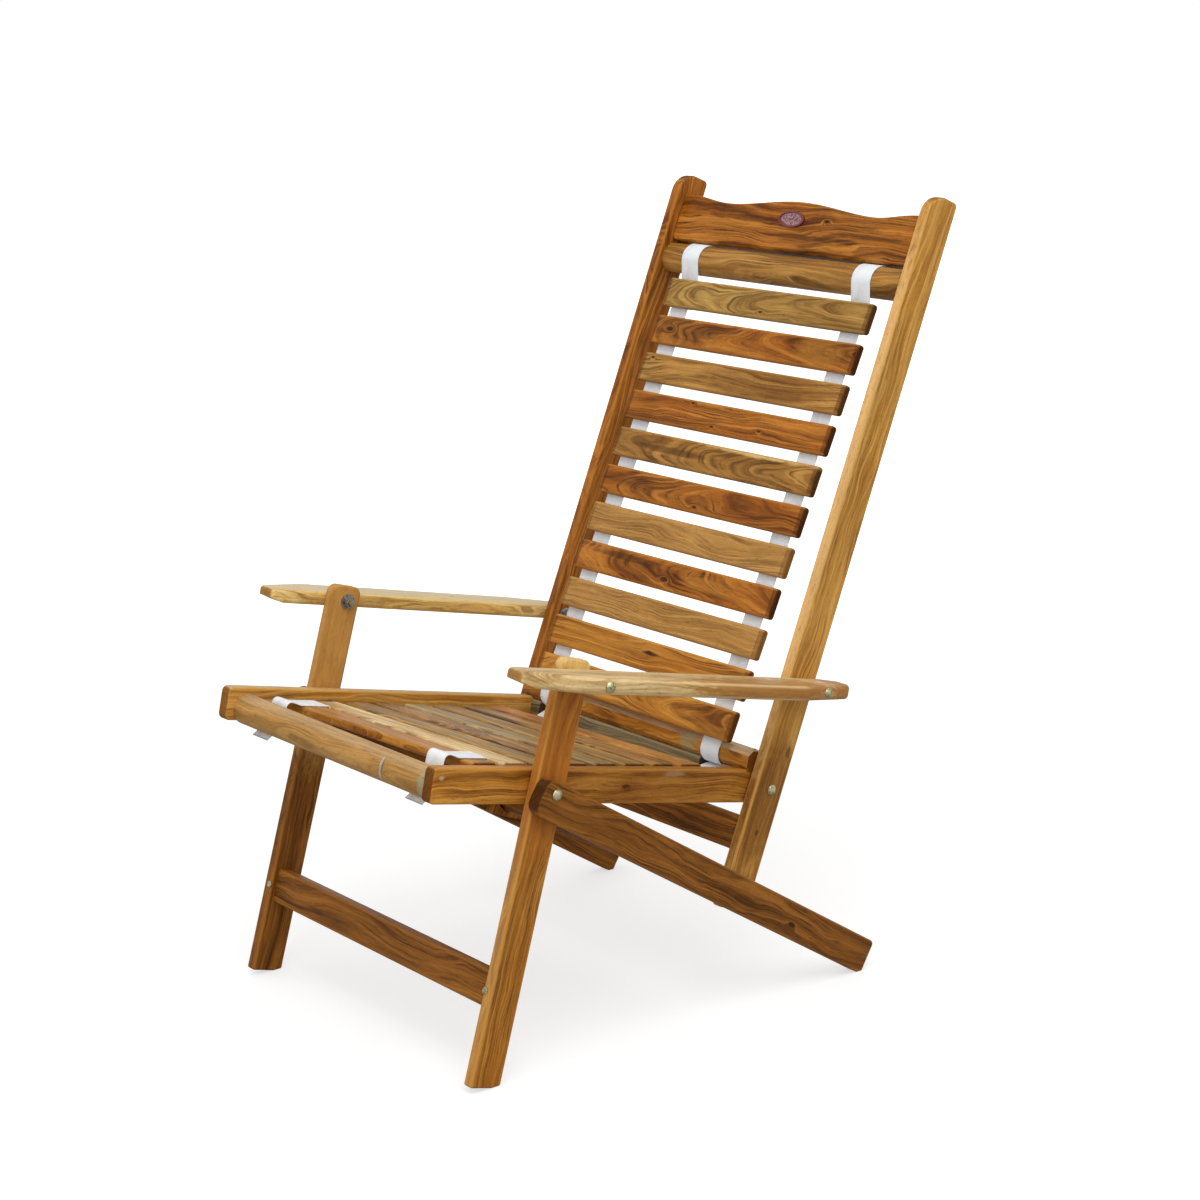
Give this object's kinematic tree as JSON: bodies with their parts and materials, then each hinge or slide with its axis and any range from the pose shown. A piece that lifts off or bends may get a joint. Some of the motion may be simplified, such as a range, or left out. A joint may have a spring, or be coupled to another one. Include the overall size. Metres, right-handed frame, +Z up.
{
  "type": "steamer deck chair",
  "caption": "Folding steamer deck chair of varnished hardwood slats on white webbing, with a high slatted back, flat arms and crossed rear struts.",
  "frame": {"origin": "on the floor under the middle of the chair's outer box", "axes": "+Z up, the sitter faces -Y, +X to the sitter's left"},
  "size_m": [0.632, 0.8519, 1.0389],
  "materials": {
    "golden_hardwood": "oiled and varnished golden-brown hardwood, glossy",
    "red_hardwood": "oiled and varnished red-brown hardwood, glossy",
    "pale_hardwood": "oiled pale straw-coloured hardwood, satin gloss",
    "worn_hardwood": "worn and slightly greyed hardwood, satin",
    "white_webbing": "matte white woven webbing",
    "zinc_steel": "zinc-plated steel with a faint yellow cast",
    "plaque_enamel": "dark red-brown enamel"
  },
  "bodies": {
    "seat_frame": {"front_seat_bar": "pale_hardwood", "rear_bar_screws": "zinc_steel", "rear_seat_bar": "worn_hardwood", "rear_seat_rail": "worn_hardwood", "seat_pivot_bolts": "zinc_steel", "seat_pivot_nuts": "zinc_steel", "seat_pivot_washers": "zinc_steel", "seat_rail_left": "golden_hardwood", "seat_rail_right": "golden_hardwood", "seat_slat_1": "worn_hardwood", "seat_slat_2": "worn_hardwood", "seat_slat_3": "worn_hardwood", "seat_slat_4": "worn_hardwood", "seat_slat_5": "worn_hardwood", "seat_slat_6": "worn_hardwood", "seat_slat_7": "worn_hardwood", "seat_slat_8": "worn_hardwood", "seat_slat_staples": "zinc_steel", "seat_webbing_left": "white_webbing", "seat_webbing_right": "white_webbing"},
    "back_frame": {"back_upright_left": "red_hardwood", "back_upright_right": "golden_hardwood", "crest_rail": "red_hardwood", "lower_back_rail": "red_hardwood", "oval_plaque": "plaque_enamel", "top_bar": "golden_hardwood", "top_webbing_left": "white_webbing", "top_webbing_right": "white_webbing", "top_webbing_staples": "zinc_steel"},
    "back_mat": {"back_slat_1": "pale_hardwood", "back_slat_10": "golden_hardwood", "back_slat_11": "red_hardwood", "back_slat_2": "red_hardwood", "back_slat_3": "golden_hardwood", "back_slat_4": "red_hardwood", "back_slat_5": "golden_hardwood", "back_slat_6": "red_hardwood", "back_slat_7": "pale_hardwood", "back_slat_8": "red_hardwood", "back_slat_9": "golden_hardwood", "back_slat_staples": "zinc_steel", "back_webbing_left": "white_webbing", "back_webbing_right": "white_webbing"},
    "front_legs": {"front_post_left": "red_hardwood", "front_post_right": "golden_hardwood", "front_stretcher": "golden_hardwood", "stretcher_screws": "zinc_steel"},
    "arm_left_assembly": {"arm_bolts_left": "zinc_steel", "arm_left": "pale_hardwood", "arm_nuts_left": "zinc_steel"},
    "arm_right_assembly": {"arm_bolts_right": "zinc_steel", "arm_nuts_right": "zinc_steel", "arm_right": "pale_hardwood"},
    "rear_strut_frame": {"rear_strut_left": "golden_hardwood", "rear_strut_right": "golden_hardwood", "strut_dowel": "golden_hardwood"}
  },
  "joints": [
    {"name": "back_fold", "type": "hinge", "parent": "seat_frame", "child": "back_frame", "pos_m": [0, 0.11236, 0.2865], "axis": [1, 0, 0], "range_deg": [0, 82]},
    {"name": "front_leg_fold", "type": "hinge", "parent": "seat_frame", "child": "front_legs", "pos_m": [0, -0.26602, 0.3628], "axis": [1, 0, 0], "range_deg": [0, 82]},
    {"name": "back_mat_fold", "type": "hinge", "parent": "seat_frame", "child": "back_mat", "pos_m": [0, 0.0999, 0.32334], "axis": [1, 0, 0], "range_deg": [0, 86.92]},
    {"name": "rear_strut_fold", "type": "hinge", "parent": "seat_frame", "child": "rear_strut_frame", "pos_m": [0, -0.26602, 0.3628], "axis": [1, 0, 0], "range_deg": [0, 9.84]},
    {"name": "left_arm_swing", "type": "hinge", "parent": "front_legs", "child": "arm_left_assembly", "pos_m": [0, -0.21792, 0.4964], "axis": [1, 0, 0], "range_deg": [-82, 0]},
    {"name": "right_arm_swing", "type": "hinge", "parent": "front_legs", "child": "arm_right_assembly", "pos_m": [0, -0.21792, 0.4964], "axis": [1, 0, 0], "range_deg": [-82, 0]}
  ],
  "couplings": [
    {"joint": "front_leg_fold", "follows": "back_fold", "ratio": 1},
    {"joint": "back_mat_fold", "follows": "back_fold", "ratio": 1.06},
    {"joint": "rear_strut_fold", "follows": "back_fold", "ratio": 0.12},
    {"joint": "left_arm_swing", "follows": "back_fold", "ratio": -1},
    {"joint": "right_arm_swing", "follows": "back_fold", "ratio": -1}
  ]
}
